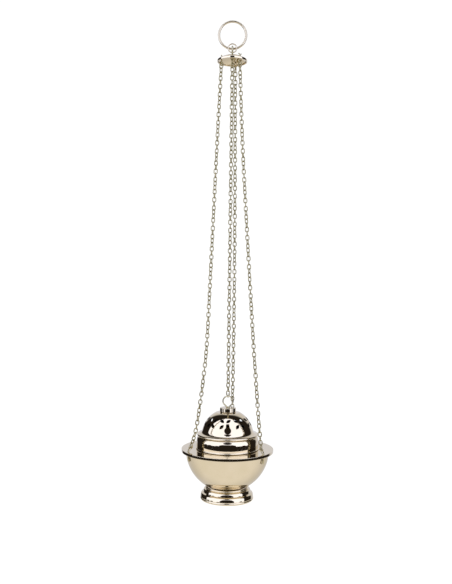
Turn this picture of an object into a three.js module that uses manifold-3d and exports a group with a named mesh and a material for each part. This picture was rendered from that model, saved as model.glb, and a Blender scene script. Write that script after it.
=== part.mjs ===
// A small hanging thurible: a brass bowl on a stepped foot, a pierced lid that slides up a fourth chain,
// and three chains that meet under a domed cap with a hand ring.
// Millimetres, +Z up, -Y is the front. Heights are written from the flat base of the foot; the finished group
// is then lowered so that the origin is where a hook bears inside the top of the hand ring.
import * as THREE from "three";
import { mergeVertices } from "three/addons/utils/BufferGeometryUtils.js";
import Module from "manifold-3d";

const wasm = await Module();
wasm.setup();

// ---- driving dimensions -------------------------------------------------------------------------------
const GAP = 0.3; // clearance between touching pieces
const ROUND = 36; // sides of the large turned pieces
const SMALL_ROUND = 20; // sides of the small turned pieces
const WIRE_SIDES = 6;

const FOOT_RADIUS = 27.5;
const FOOT_WALL = 1.6;
const FOOT_NECK_RADIUS = 22.35;
const FOOT_STEPS = [ // radius and height of each step's lower edge, then the radii of its side and its shoulder
  [27.3, 2.9, 16, 1.77],
  [24.5, 7.6, 12, 1.9],
];
const STEP_LOW = 3.5; // degrees that a step's side leans in at its lower edge, and at its shoulder
const STEP_HIGH = 14;

const BOWL_RADIUS = 43.2; // outside of the sphere
const BOWL_CENTRE_Z = 51.6;
const BOWL_WALL = 1.3;
const BOWL_FLAT_RADIUS = 8; // the flat that the foot is screwed to
const SCREW_RADIUS = 2;

const RIM_RADIUS = 47.5;
const RIM_MOUTH_RADIUS = 30.5;
const RIM_TOP_Z = 52;
const RIM_THICKNESS = 1.3;
const RIM_EDGE_DROP = 2.9; // depth of the turned-down edge
const RIM_EDGE_WALL = 1.3;

const CHAIN_COUNT = 3;
const CHAIN_TURN = 5; // degrees that the triangle of eyes in the rim is turned, seen from above
const HANGER_TURN = 17.5; // the same for the eyes in the cap, which has turned a little on its slack chains
const EYE_CIRCLE = 44.1; // radius of the circle of eyes in the rim
const EYE_HOLE_RADIUS = 1.2;

const CUP_RADIUS = 29.4;
const CUP_FLOOR_Z = 18.6;
const CUP_WALL = 1;

const LID_SEAT_Z = RIM_TOP_Z + GAP;
const DRUM_RADIUS = 32.1;
const DRUM_TOP_Z = 65;
const DRUM_WALL = 1.2;
const DRUM_SHOULDER = 8; // radius of the soft curve at the top of the drum's side
const SEAM_RADIUS = 28.2; // inner edge of the faces where the drum and the dome meet
const BRIM_RADIUS = 31.6; // outside of the dome's rounded brim
const FLARE = [ // where the dome flares out over its brim: radius and height above the brim's underside
  [28.5, 3.5],
  [27, 4.9],
];
const FLARE_INNER_RADIUS = 26.2;
const BRIM_BEAD = 1.25;
const DOME_RADIUS = 26.9;
const DOME_CENTRE_Z = 65.4;
const DOME_WALL = 1;
const DOME_START = 14; // degrees above the ball's widest circle where the flare to the brim begins
const DOME_FLAT_RADIUS = 12.4; // where the ball turns into the low crown under the collar
const CROWN_Z = 89.6;
const FLOWERS = 9;
const FLOWER_LATITUDE = 35.5; // degrees above the ball's widest circle
const PETALS = 4;
const PETAL_LENGTH = 5.9;
const PETAL_WIDTH = 3.4;
const PETAL_START = 1.6; // from the flower's centre to the petal's near tip

const COLLAR_RADIUS = 8.3;
const COLLAR_HEIGHT = 4.2;
const COLLAR_BORE = 1.9;

const LID_EYE_RADIUS = 5.2; // to the middle of the wire
const LID_EYE_WIRE = 0.7;
const EYE_RADIUS = 1.9;
const EYE_WIRE = 0.5;
const LINK_WIRE = 0.5;
const LINK_RING_RADIUS = 1.9;
const CHAIN_RADIUS = 2.1; // half the width of the links
const CHAIN_STEPS = 14;

// The points that each slack chain passes between its two jump rings, clear of the lid where the lid rises.
const CHAIN_ROUTES = {
  back: [
    [5, 41.2, 90],
    [5.4, 30, 200],
    [4.8, 21, 300],
    [4, 14.4, 385],
  ],
  left: [
    [-32.2, -22.6, 74],
    [-28.3, -23.6, 100],
    [-24.8, -24.8, 130],
    [-22.2, -22.4, 160],
    [-20.2, -17.7, 210],
    [-17.1, -10.9, 296],
    [-13.8, -5.6, 385],
  ],
  right: [
    [31, -23.8, 84],
    [27.3, -22.6, 130],
    [24.9, -20.8, 160],
    [18.7, -16.6, 250],
    [12.7, -12.2, 342],
    [9.9, -10.1, 395],
  ],
};

const CAP_RADIUS = 15.5;
const CAP_EDGE_Z = 452;
const CAP_WALL = 1.2;
const CAP_RISE = 5.4;
const CAP_EYE_CIRCLE = 11.4;
const PULL_HOLE_Y = -7.2;
const PULL_HOLE_RADIUS = 3;
const HANGER_EYE_RADIUS = 3.6;
const HANGER_EYE_WIRE = 0.9;
const HAND_RING_RADIUS = 14;
const HAND_RING_WIRE = 1.2;
const PULL_RING_RADIUS = 4.4;
const PULL_RING_WIRE = 0.6;

// ---- materials ----------------------------------------------------------------------------------------
const brass = (color, roughness) => new THREE.MeshStandardMaterial({ color, roughness, metalness: 1 });
const POLISHED = 0xd8c59a;
const CHAIN_BRASS = 0xb5a268;
const STEEL = 0xb9b9b4;

// ---- helpers ------------------------------------------------------------------------------------------
const group = new THREE.Group();
const assembly = new THREE.Group();
group.add(assembly);
const RAD = Math.PI / 180;

function add(name, geometry, color, roughness = 0.15) {
  const mesh = new THREE.Mesh(geometry, brass(color, roughness));
  mesh.name = name;
  assembly.add(mesh);
}

// A turned piece from [radius, height] pairs, listed up the outside and down the inside.
function turned(profile, sides = ROUND) {
  const points = profile.map(([r, z]) => new THREE.Vector2(r, z));
  return new THREE.LatheGeometry(points, sides).rotateX(Math.PI / 2);
}

function closed(profile) {
  return [...profile, profile[0]];
}

// Points on a circle in the profile plane; angles are degrees up from the widest radius.
function arc(centreR, centreZ, radius, from, to, steps) {
  const points = [];
  for (let i = 0; i <= steps; i += 1) {
    const a = (from + ((to - from) * i) / steps) * RAD;
    points.push([centreR + radius * Math.cos(a), centreZ + radius * Math.sin(a)]);
  }
  return points;
}

function wire(curve, radius, steps, sides = WIRE_SIDES) {
  const section = new THREE.Shape();
  for (let i = 0; i < sides; i += 1) {
    const a = (2 * Math.PI * i) / sides;
    const [x, y] = [radius * Math.cos(a), radius * Math.sin(a)];
    if (i === 0) section.moveTo(x, y);
    else section.lineTo(x, y);
  }
  section.closePath();
  return new THREE.ExtrudeGeometry(section, { steps, extrudePath: curve });
}

function toManifold(geometry) {
  const bare = geometry.clone();
  bare.deleteAttribute("normal");
  bare.deleteAttribute("uv");
  const merged = mergeVertices(bare, 1e-4);
  return new wasm.Manifold(
    new wasm.Mesh({
      numProp: 3,
      vertProperties: Float32Array.from(merged.attributes.position.array),
      triVerts: Uint32Array.from(merged.index.array),
    })
  );
}

function toGeometry(solid) {
  const mesh = solid.getMesh();
  const geometry = new THREE.BufferGeometry();
  geometry.setAttribute("position", new THREE.BufferAttribute(Float32Array.from(mesh.vertProperties), 3));
  geometry.setIndex(new THREE.BufferAttribute(Uint32Array.from(mesh.triVerts), 1));
  geometry.computeVertexNormals();
  return geometry;
}

function cut(geometry, tools) {
  let solid = toManifold(geometry);
  for (const tool of tools) solid = solid.subtract(toManifold(tool));
  return toGeometry(solid);
}

function drill(x, y, z, radius, depth, sides = 16) {
  return new THREE.CylinderGeometry(radius, radius, depth, sides).rotateX(Math.PI / 2).translate(x, y, z);
}

const X_AXIS = new THREE.Vector3(1, 0, 0);

// The tips of a split pin's leg that is spread sideways behind a plate, [beside, along Y, up] in mm.
function spreadLeg(wireRadius, plate, spread) {
  const under = -plate - wireRadius - GAP;
  return [
    [spread, 0, under - 0.35],
    [spread * 0.35, 0, under - 0.2],
    [0, 0, 0.1 - plate],
  ];
}

// The legs of the pins in the rim are left long and bent in to follow the bowl.
const RIM_LEG = [
  [0.9, 1, -10],
  [0.5, 0.5, -6.6],
  [0.1, 0.1, -3.2],
];
const RIM_EYE_LEAN = 36; // degrees that the chains have drawn the rim's eyes over towards the axis

// A split pin bent from one wire: a round eye with two legs side by side.
// The eye points along +Z from the plate's face at z = 0, or leans over to +Y, and the legs are side by
// side along X.
function splitPin(eyeRadius, wireRadius, leg, lean = 0) {
  const half = wireRadius + 0.06; // from the middle of the pin to the middle of a leg
  const eyeZ = wireRadius + GAP + eyeRadius * 1.08;
  const legs = [...leg, [0, 0, 0]];
  const points = legs.map(([x, y, z]) => new THREE.Vector3(half + x, y, z));
  for (let a = -62; a <= 242; a += 38) {
    const eye = new THREE.Vector3(eyeRadius * Math.cos(a * RAD), 0, eyeZ + eyeRadius * Math.sin(a * RAD));
    points.push(eye.applyAxisAngle(X_AXIS, -lean * RAD));
  }
  points.push(...legs.reverse().map(([x, y, z]) => new THREE.Vector3(-half - x, y, z)));
  const curve = new THREE.CatmullRomCurve3(points, false, "centripetal");
  return { geometry: wire(curve, wireRadius, 28), eyeZ };
}

// Where the eye of chain i is: its direction from the axis, seen from above. Chain 0 is at the back.
function chainDirection(i, turn) {
  const a = (90 - turn + (360 / CHAIN_COUNT) * i) * RAD;
  return new THREE.Vector3(Math.cos(a), Math.sin(a), 0);
}

const SIDES = ["back", "left", "right"];

// ---- foot ---------------------------------------------------------------------------------------------
// The bowl's flat, and the web of the foot under it.
const FLAT_Z = BOWL_CENTRE_Z - Math.sqrt(BOWL_RADIUS ** 2 - BOWL_FLAT_RADIUS ** 2);
const WEB_TOP_Z = FLAT_Z - GAP;

// Height of the foot's seat under the ball of the bowl.
function seatHeight(radius) {
  return BOWL_CENTRE_Z - Math.sqrt((BOWL_RADIUS + GAP) ** 2 - radius ** 2) - 0.15;
}

// The outline of one step: a side that leans in a little more as it rises, and a round shoulder.
function footStep([radius, z, side, shoulder]) {
  const sideR = radius - side * Math.cos(STEP_LOW * RAD);
  const sideZ = z - side * Math.sin(STEP_LOW * RAD);
  const shoulderR = sideR + (side - shoulder) * Math.cos(STEP_HIGH * RAD);
  const shoulderZ = sideZ + (side - shoulder) * Math.sin(STEP_HIGH * RAD);
  return [
    ...arc(sideR, sideZ, side, STEP_LOW, STEP_HIGH, 2),
    ...arc(shoulderR, shoulderZ, shoulder, STEP_HIGH, 72, 3).slice(1),
  ];
}

function foot() {
  const neck = FOOT_NECK_RADIUS - 1.15;
  const outside = [
    [FOOT_RADIUS - 3.4, 0],
    [FOOT_RADIUS - 0.4, 0],
    ...arc(FOOT_RADIUS - 1.2, 1.4, 1.2, -60, 50, 3),
    ...FOOT_STEPS.flatMap(footStep),
    ...arc(neck, 12.3, 1.15, -55, 85, 4),
  ];
  const seat = [neck - 0.8, 16, 11].map((r) => [r, seatHeight(r)]);
  const inside = [
    [BOWL_FLAT_RADIUS, WEB_TOP_Z],
    [SCREW_RADIUS + GAP, WEB_TOP_Z],
    [SCREW_RADIUS + GAP, WEB_TOP_Z - FOOT_WALL],
    [BOWL_FLAT_RADIUS + 1.5, WEB_TOP_Z - FOOT_WALL],
    [neck - 4.7, WEB_TOP_Z],
    [neck - 1.7, WEB_TOP_Z + 0.8],
    [neck + 0.8, 6.5],
    [FOOT_RADIUS - 3.4, 2.2],
  ];
  add("foot", turned(closed([...outside, ...seat, ...inside])), POLISHED);
}

function footFixing() {
  const floor = FLAT_Z + BOWL_WALL;
  const seat = WEB_TOP_Z - FOOT_WALL - GAP; // underside of the foot's web, where the head bears
  const washerTop = floor + GAP + 0.8;
  const nutTop = washerTop + GAP + 2.4;
  const head = turned(
    [
      [0, seat - 2.4],
      [2.2, seat - 2.4],
      [3.8, seat - 1.2],
      [3.8, seat],
      [SCREW_RADIUS, seat],
      [SCREW_RADIUS, nutTop + 0.8],
      [SCREW_RADIUS - 0.5, nutTop + 1.3],
      [0, nutTop + 1.3],
    ],
    SMALL_ROUND
  );
  const slot = new THREE.BoxGeometry(9, 1, 2).translate(0, 0, seat - 2.4);
  add("foot_screw", cut(head, [slot]), STEEL, 0.3);
  const washer = closed([
    [SCREW_RADIUS + GAP, floor + GAP],
    [5.4, floor + GAP],
    [5.4, washerTop],
    [SCREW_RADIUS + GAP, washerTop],
  ]);
  add("foot_washer", turned(washer, SMALL_ROUND), POLISHED, 0.3);
  const hexagon = new THREE.CylinderGeometry(4, 4, 2.4, 6).rotateX(Math.PI / 2);
  hexagon.translate(0, 0, washerTop + GAP + 1.2);
  add("foot_nut", cut(hexagon, [drill(0, 0, washerTop + GAP + 1.2, SCREW_RADIUS + GAP, 5, 20)]), POLISHED, 0.3);
}

// ---- bowl, rim and cup --------------------------------------------------------------------------------
function bowl() {
  const top = RIM_TOP_Z - RIM_THICKNESS - GAP;
  const inner = BOWL_RADIUS - BOWL_WALL;
  const flatAngle = -Math.acos(BOWL_FLAT_RADIUS / BOWL_RADIUS) / RAD;
  const topAngle = Math.asin((top - BOWL_CENTRE_Z) / BOWL_RADIUS) / RAD;
  const profile = closed([
    [SCREW_RADIUS + GAP, FLAT_Z],
    ...arc(0, BOWL_CENTRE_Z, BOWL_RADIUS, flatAngle, topAngle, 9),
    ...arc(0, BOWL_CENTRE_Z, inner, topAngle, flatAngle, 9),
    [SCREW_RADIUS + GAP, BOWL_CENTRE_Z + inner * Math.sin(flatAngle * RAD)],
  ]);
  add("bowl", turned(profile), POLISHED);
}

function rimFlange() {
  const under = RIM_TOP_Z - RIM_THICKNESS;
  const edge = RIM_TOP_Z - RIM_EDGE_DROP;
  const profile = closed([
    [RIM_MOUTH_RADIUS, under],
    [RIM_RADIUS - RIM_EDGE_WALL, under],
    [RIM_RADIUS - RIM_EDGE_WALL, edge + 0.3],
    [RIM_RADIUS - 0.6, edge],
    [RIM_RADIUS, edge + 0.7],
    [RIM_RADIUS, RIM_TOP_Z - 0.7],
    [RIM_RADIUS - 0.7, RIM_TOP_Z],
    [RIM_MOUTH_RADIUS, RIM_TOP_Z],
  ]);
  const holes = SIDES.map((_, i) => {
    const at = chainDirection(i, CHAIN_TURN).multiplyScalar(EYE_CIRCLE);
    return drill(at.x, at.y, RIM_TOP_Z, EYE_HOLE_RADIUS, 8);
  });
  add("rim_flange", cut(turned(profile, ROUND + 12), holes), POLISHED);
}

function charcoalCup() {
  const rimZ = CUP_FLOOR_Z + 6.4;
  const flat = 15;
  const profile = [
    [0, CUP_FLOOR_Z],
    [flat, CUP_FLOOR_Z],
    [CUP_RADIUS - 5, CUP_FLOOR_Z + 2.2],
    [CUP_RADIUS - 1.6, rimZ - 1],
    [CUP_RADIUS, rimZ - 0.8],
    [CUP_RADIUS, rimZ],
    [CUP_RADIUS - 2.4, rimZ],
    [CUP_RADIUS - 5.8, CUP_FLOOR_Z + 3.1],
    [flat, CUP_FLOOR_Z + CUP_WALL],
    [0, CUP_FLOOR_Z + CUP_WALL],
  ];
  add("charcoal_cup", turned(profile, 28), CHAIN_BRASS, 0.45);
}

// ---- lid ----------------------------------------------------------------------------------------------
function lidDrum() {
  const spigot = RIM_MOUTH_RADIUS - 0.5;
  const inner = DRUM_RADIUS - DRUM_WALL;
  const profile = closed([
    [spigot - DRUM_WALL, LID_SEAT_Z - 2.8],
    [spigot, LID_SEAT_Z - 2.8],
    [spigot, LID_SEAT_Z],
    [DRUM_RADIUS + 0.5, LID_SEAT_Z],
    [DRUM_RADIUS + 0.5, LID_SEAT_Z + 0.8],
    [DRUM_RADIUS, LID_SEAT_Z + 1.2],
    ...arc(DRUM_RADIUS - DRUM_SHOULDER, DRUM_TOP_Z - 4.5, DRUM_SHOULDER, 0, 30, 3),
    [DRUM_RADIUS - 1.6, DRUM_TOP_Z],
    [SEAM_RADIUS, DRUM_TOP_Z],
    [SEAM_RADIUS, DRUM_TOP_Z - DRUM_WALL],
    [inner - 1.4, DRUM_TOP_Z - DRUM_WALL],
    [inner, DRUM_TOP_Z - DRUM_WALL - 3],
    [inner, LID_SEAT_Z + DRUM_WALL],
    [spigot - DRUM_WALL, LID_SEAT_Z + DRUM_WALL],
  ]);
  add("lid_drum", turned(profile), POLISHED);
}

// One pierced petal, as a prism along +X from the middle of the dome, its length along the flower's radius.
function petalTool(latitude, longitude, turn) {
  const half = PETAL_WIDTH / 2;
  const mid = PETAL_START + PETAL_LENGTH / 2;
  const shape = new THREE.Shape();
  shape.moveTo(PETAL_START, 0);
  shape.quadraticCurveTo(mid, -2 * half, PETAL_START + PETAL_LENGTH, 0);
  shape.quadraticCurveTo(mid, 2 * half, PETAL_START, 0);
  const prism = new THREE.ExtrudeGeometry(shape, { depth: 14, bevelEnabled: false, curveSegments: 3 });
  prism.rotateZ(turn);
  prism.translate(0, 0, DOME_RADIUS - 7);
  prism.rotateY(Math.PI / 2); // now along +X, with the shape's own X pointing down
  prism.rotateY(-latitude);
  prism.rotateZ(longitude);
  return prism.translate(0, 0, DOME_CENTRE_Z);
}

function lidDome() {
  const flatAngle = Math.acos(DOME_FLAT_RADIUS / DOME_RADIUS) / RAD;
  const inner = DOME_RADIUS - DOME_WALL;
  const innerFlat = DOME_FLAT_RADIUS - 0.8;
  const innerAngle = Math.acos(innerFlat / inner) / RAD;
  const base = DRUM_TOP_Z + GAP;
  const profile = closed([
    [SEAM_RADIUS, base],
    ...arc(BRIM_RADIUS - BRIM_BEAD, base + BRIM_BEAD, BRIM_BEAD, -90, 90, 4),
    ...FLARE.map(([radius, height]) => [radius, base + height]),
    ...arc(0, DOME_CENTRE_Z, DOME_RADIUS, DOME_START, flatAngle, 7),
    [COLLAR_RADIUS, CROWN_Z],
    [COLLAR_BORE, CROWN_Z],
    [COLLAR_BORE, CROWN_Z - DOME_WALL],
    [COLLAR_RADIUS, CROWN_Z - DOME_WALL],
    ...arc(0, DOME_CENTRE_Z, inner, innerAngle, DOME_START, 7),
    [FLARE_INNER_RADIUS, base + FLARE[1][1] - DOME_WALL],
    [SEAM_RADIUS, base + 2],
  ]);
  const tools = [];
  for (let flower = 0; flower < FLOWERS; flower += 1) {
    const longitude = (-97.5 + (360 / FLOWERS) * flower) * RAD;
    for (let petal = 0; petal < PETALS; petal += 1) {
      tools.push(petalTool(FLOWER_LATITUDE * RAD, longitude, (45 + (360 / PETALS) * petal) * RAD));
    }
  }
  add("lid_dome", cut(turned(profile, 36), tools), POLISHED);
}

function lidCollar() {
  const z = CROWN_Z + GAP;
  const top = z + COLLAR_HEIGHT;
  const profile = closed([
    [COLLAR_BORE, z],
    [COLLAR_RADIUS - 0.3, z],
    [COLLAR_RADIUS, z + 0.3],
    [COLLAR_RADIUS, top - 0.4],
    [COLLAR_RADIUS - 0.4, top],
    [COLLAR_BORE, top],
  ]);
  add("lid_collar", turned(profile, 24), POLISHED);
  return top;
}

// ---- eyes, jump rings and chains ----------------------------------------------------------------------
// A ring whose plane holds the direction `along` and the direction `across`.
function ringGeometry(radius, wireRadius, across, along, sides = 16) {
  const ring = new THREE.TorusGeometry(radius, wireRadius, WIRE_SIDES, sides);
  const normal = new THREE.Vector3().crossVectors(across, along);
  return ring.applyMatrix4(new THREE.Matrix4().makeBasis(across, along, normal));
}

// A direction from one point to another, and the one nearest to `out` that is square to it.
function frameAlong(from, to, out) {
  const along = to.clone().sub(from).normalize();
  const across = out.clone().addScaledVector(along, -out.dot(along)).normalize();
  return { along, across };
}

// Three suspension chains, each with an eye and a jump ring at both ends.
function suspension() {
  const capPlate = CAP_WALL + 1; // the cap's wall and its slope across the pin
  const capPlateZ = CAP_EDGE_Z + capHeight(CAP_EYE_CIRCLE) + 0.5 - capPlate;
  SIDES.forEach((side, i) => {
    const route = CHAIN_ROUTES[side].map((point) => new THREE.Vector3(...point));
    const out = chainDirection(i, CHAIN_TURN);
    const capOut = chainDirection(i, HANGER_TURN);
    const turn = Math.atan2(out.y, out.x) + Math.PI / 2;
    const capTurn = Math.atan2(capOut.y, capOut.x) + Math.PI / 2;

    const low = splitPin(EYE_RADIUS, EYE_WIRE, RIM_LEG, RIM_EYE_LEAN);
    low.geometry.rotateZ(turn).translate(out.x * EYE_CIRCLE, out.y * EYE_CIRCLE, RIM_TOP_Z);
    add(`rim_eye_${side}`, low.geometry, CHAIN_BRASS, 0.25);

    const high = splitPin(EYE_RADIUS, EYE_WIRE, spreadLeg(EYE_WIRE, capPlate, 1.4));
    high.geometry.rotateX(Math.PI).rotateZ(capTurn);
    high.geometry.translate(capOut.x * CAP_EYE_CIRCLE, capOut.y * CAP_EYE_CIRCLE, capPlateZ);
    add(`cap_eye_${side}`, high.geometry, CHAIN_BRASS, 0.25);

    const eyeTop = low.eyeZ + EYE_RADIUS;
    const start = out.clone().multiplyScalar(EYE_CIRCLE - eyeTop * Math.sin(RIM_EYE_LEAN * RAD));
    start.z = RIM_TOP_Z + eyeTop * Math.cos(RIM_EYE_LEAN * RAD);
    const end = capOut.clone().multiplyScalar(CAP_EYE_CIRCLE);
    end.z = capPlateZ - high.eyeZ - EYE_RADIUS;
    const atRim = frameAlong(start, route[0], out);
    const atCap = frameAlong(end, route.at(-1), capOut);
    const hooked = LINK_RING_RADIUS - EYE_WIRE - LINK_WIRE - GAP; // from the eye's wire to the ring's middle
    const clear = LINK_RING_RADIUS + LINK_WIRE + GAP;
    const ends = [];
    for (const [level, at, lie] of [["rim", start, atRim], ["cap", end, atCap]]) {
      const middle = at.clone().addScaledVector(lie.along, hooked);
      const ring = ringGeometry(LINK_RING_RADIUS, LINK_WIRE, lie.across, lie.along);
      add(`${level}_link_${side}`, ring.translate(middle.x, middle.y, middle.z), CHAIN_BRASS, 0.25);
      ends.push(middle.addScaledVector(lie.along, clear));
    }
    const line = new THREE.CatmullRomCurve3([ends[0], ...route, ends[1]], false, "centripetal");
    add(`bowl_chain_${side}`, wire(line, CHAIN_RADIUS, CHAIN_STEPS, 8), CHAIN_BRASS, 0.3);
  });
}

// ---- hanger -------------------------------------------------------------------------------------------
// Height of the cap's outer surface over its edge, at a radius from the axis.
function capHeight(radius) {
  return CAP_RISE * (1 - (radius / CAP_RADIUS) ** 2) + 0.8;
}

function hangerCap() {
  const radii = [CAP_RADIUS, 14, 11, 8, 5, 2.2];
  const outside = radii.map((r) => [r, CAP_EDGE_Z + capHeight(r)]);
  const inside = radii
    .slice(1)
    .reverse()
    .map((r) => [r, CAP_EDGE_Z + capHeight(r) - CAP_WALL]);
  const profile = closed([
    [CAP_RADIUS - CAP_WALL, CAP_EDGE_Z - 1.2],
    [CAP_RADIUS, CAP_EDGE_Z - 1.2],
    ...outside,
    ...inside,
    [CAP_RADIUS - CAP_WALL, CAP_EDGE_Z + capHeight(14) - CAP_WALL - 0.4],
  ]);
  const holes = SIDES.map((_, i) => {
    const at = chainDirection(i, HANGER_TURN).multiplyScalar(CAP_EYE_CIRCLE);
    return drill(at.x, at.y, CAP_EDGE_Z, EYE_HOLE_RADIUS, 20);
  });
  holes.push(drill(0, PULL_HOLE_Y, CAP_EDGE_Z, PULL_HOLE_RADIUS, 20));
  add("hanger_cap", cut(turned(profile, 28), holes), POLISHED);
}

function hangerEyeAndRing() {
  const top = CAP_EDGE_Z + capHeight(2.2);
  const pin = splitPin(HANGER_EYE_RADIUS, HANGER_EYE_WIRE, spreadLeg(HANGER_EYE_WIRE, CAP_WALL, 2.4));
  add("hanger_eye", pin.geometry.rotateZ(Math.PI / 2).translate(0, 0, top), CHAIN_BRASS, 0.25);
  const crown = top + pin.eyeZ + HANGER_EYE_RADIUS - HANGER_EYE_WIRE; // inside of the eye, at its top
  const pivotZ = crown - HAND_RING_WIRE - 0.12;
  const across = new THREE.Vector3(1, 0, 0);
  const ring = ringGeometry(HAND_RING_RADIUS, HAND_RING_WIRE, across, new THREE.Vector3(0, 0, 1), 28);
  add("hand_ring", ring.translate(0, 0, pivotZ + HAND_RING_RADIUS), POLISHED);
  return pivotZ + 2 * HAND_RING_RADIUS - HAND_RING_WIRE; // inside of the ring, at its top
}

// The lid's own chain: eye in the collar, jump ring, chain through the cap, and the ring that is pulled.
function lidChain(collarTop) {
  const leg = spreadLeg(LID_EYE_WIRE, COLLAR_HEIGHT + GAP + DOME_WALL, 1.8);
  const pin = splitPin(LID_EYE_RADIUS, LID_EYE_WIRE, leg);
  add("lid_eye", pin.geometry.translate(0, 0, collarTop), CHAIN_BRASS, 0.25);
  const start = new THREE.Vector3(0, 0, collarTop + pin.eyeZ + LID_EYE_RADIUS);
  const capZ = CAP_EDGE_Z + capHeight(-PULL_HOLE_Y);
  const pullZ = capZ + GAP + 0.5 + PULL_RING_WIRE;
  const end = new THREE.Vector3(0, PULL_HOLE_Y, pullZ);
  const { along, across } = frameAlong(start, end, new THREE.Vector3(0, 1, 0));
  const hooked = LINK_RING_RADIUS - LID_EYE_WIRE - LINK_WIRE - 0.12;
  const linkAt = start.clone().addScaledVector(along, hooked);
  const link = ringGeometry(LINK_RING_RADIUS, LINK_WIRE, across, along);
  add("lid_link", link.translate(linkAt.x, linkAt.y, linkAt.z), CHAIN_BRASS, 0.25);
  const from = linkAt.clone().addScaledVector(along, LINK_RING_RADIUS + LINK_WIRE + GAP);
  const to = end.clone().addScaledVector(along, -(PULL_RING_WIRE + GAP));
  add("lid_chain", wire(new THREE.LineCurve3(from, to), CHAIN_RADIUS, 1, 8), CHAIN_BRASS, 0.3);
  const x = new THREE.Vector3(1, 0, 0);
  const pull = ringGeometry(PULL_RING_RADIUS, PULL_RING_WIRE, x, new THREE.Vector3(0, 0, 1), 20);
  add("pull_ring", pull.translate(0, PULL_HOLE_Y, pullZ + PULL_RING_RADIUS), POLISHED, 0.2);
}

// ---- assembly -----------------------------------------------------------------------------------------
foot();
footFixing();
bowl();
rimFlange();
charcoalCup();
lidDrum();
lidDome();
const collarTop = lidCollar();
suspension();
hangerCap();
assembly.position.z = -hangerEyeAndRing();
lidChain(collarTop);

export default group;
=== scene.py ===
"""A small hanging brass thurible: polished turned parts, a pierced lid and four chains of real links.

Shapes are written in millimetres, with heights from the foot's base, and placed in the frame in metres.
"""

import math
import random

import bmesh
import bpy
from mathutils import Matrix, Quaternion, Vector


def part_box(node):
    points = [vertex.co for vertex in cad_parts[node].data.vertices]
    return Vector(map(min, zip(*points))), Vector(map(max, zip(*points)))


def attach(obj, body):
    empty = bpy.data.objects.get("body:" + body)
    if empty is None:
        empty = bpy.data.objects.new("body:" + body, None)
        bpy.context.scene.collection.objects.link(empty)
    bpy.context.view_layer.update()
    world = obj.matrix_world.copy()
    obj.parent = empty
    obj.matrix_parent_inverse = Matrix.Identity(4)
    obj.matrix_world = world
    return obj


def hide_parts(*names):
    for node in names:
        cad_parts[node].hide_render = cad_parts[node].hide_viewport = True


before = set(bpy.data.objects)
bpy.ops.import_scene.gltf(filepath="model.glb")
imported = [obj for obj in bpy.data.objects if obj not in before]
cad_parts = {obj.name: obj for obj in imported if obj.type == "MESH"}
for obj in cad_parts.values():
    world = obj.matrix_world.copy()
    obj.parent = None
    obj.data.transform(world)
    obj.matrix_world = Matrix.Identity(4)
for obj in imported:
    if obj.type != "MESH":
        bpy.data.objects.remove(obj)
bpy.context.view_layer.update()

MM = 0.001
BASE_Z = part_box("foot")[0].z  # the foot's base, in the frame
SIDES = ("back", "left", "right")

# ---- dimensions shared with the CAD model, mm --------------------------------------------------------------
GAP = 0.3
FOOT_RADIUS = 27.5
FOOT_NECK_RADIUS = 22.35
FOOT_STEPS = [(27.3, 2.9, 16, 1.77), (24.5, 7.6, 12, 1.9)]  # edge's radius and height, side's and shoulder's radii
STEP_LOW, STEP_HIGH = 3.5, 14.0  # how far a step's side leans in, degrees
STEP_SHOULDER_END = 72  # where the shoulder's arc stops, degrees
FOOT_LIP = 1.2
NECK_BEAD = 1.15
NECK_BEAD_Z = 12.3
FOOT_WALL = 1.6
SEAT_CLEARANCE = 0.15
BOWL_RADIUS = 43.2
BOWL_CENTRE_Z = 51.6
BOWL_WALL = 1.3
BOWL_FLAT_RADIUS = 8
SCREW_RADIUS = 2
FLAT_Z = BOWL_CENTRE_Z - math.sqrt(BOWL_RADIUS**2 - BOWL_FLAT_RADIUS**2)
WEB_TOP_Z = FLAT_Z - GAP
RIM_RADIUS = 47.5
RIM_MOUTH_RADIUS = 30.5
RIM_TOP_Z = 52
RIM_THICKNESS = 1.3
RIM_EDGE_DROP = 2.9
RIM_EDGE_WALL = 1.3
RIM_EDGE_ROUND = 0.3
CHAIN_TURN = 5
HANGER_TURN = 17.5
EYE_CIRCLE = 44.1
EYE_HOLE_RADIUS = 1.2
CUP_RADIUS = 29.4
CUP_FLOOR_Z = 18.6
CUP_WALL = 1
LID_SEAT_Z = RIM_TOP_Z + GAP
DRUM_RADIUS = 32.1
DRUM_TOP_Z = 65
DRUM_WALL = 1.2
DRUM_SHOULDER = 8
SEAM_RADIUS = 28.2
BRIM_RADIUS = 31.6
BRIM_BEAD = 1.25
DOME_RADIUS = 26.9
DOME_CENTRE_Z = 65.4
DOME_WALL = 1
DOME_START = 14
DOME_FLAT_RADIUS = 12.4
FLARE_RISE = 2.7
FLARE_INNER = (26.2, 3.9)  # inside of the flare: radius, and height over the brim's base
CROWN_Z = 89.6
FLOWERS = 9
FLOWER_LATITUDE = 35.5
FIRST_FLOWER = -97.5  # its longitude, degrees
FIRST_PETAL = 45
PETALS = 4
PETAL_LENGTH = 5.9
PETAL_WIDTH = 3.4
PETAL_START = 1.6
COLLAR_RADIUS = 8.3
COLLAR_HEIGHT = 4.2
COLLAR_BORE = 1.9
LID_EYE_RADIUS = 5.2
LID_EYE_WIRE = 0.7
EYE_RADIUS = 1.9
EYE_WIRE = 0.5
RIM_LEG = [(0.9, 1, -10), (0.5, 0.5, -6.6), (0.1, 0.1, -3.2)]  # a long leg bent in to follow the bowl
RIM_EYE_LEAN = math.radians(36)
LINK_WIRE = 0.5
LINK_RING_RADIUS = 1.9
CAP_RADIUS = 15.5
CAP_EDGE_Z = 452
CAP_WALL = 1.2
CAP_RISE = 5.4
CAP_EYE_CIRCLE = 11.4
CAP_EDGE_HEIGHT = 0.8
PULL_HOLE_Y = -7.2
PULL_HOLE_RADIUS = 3
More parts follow.
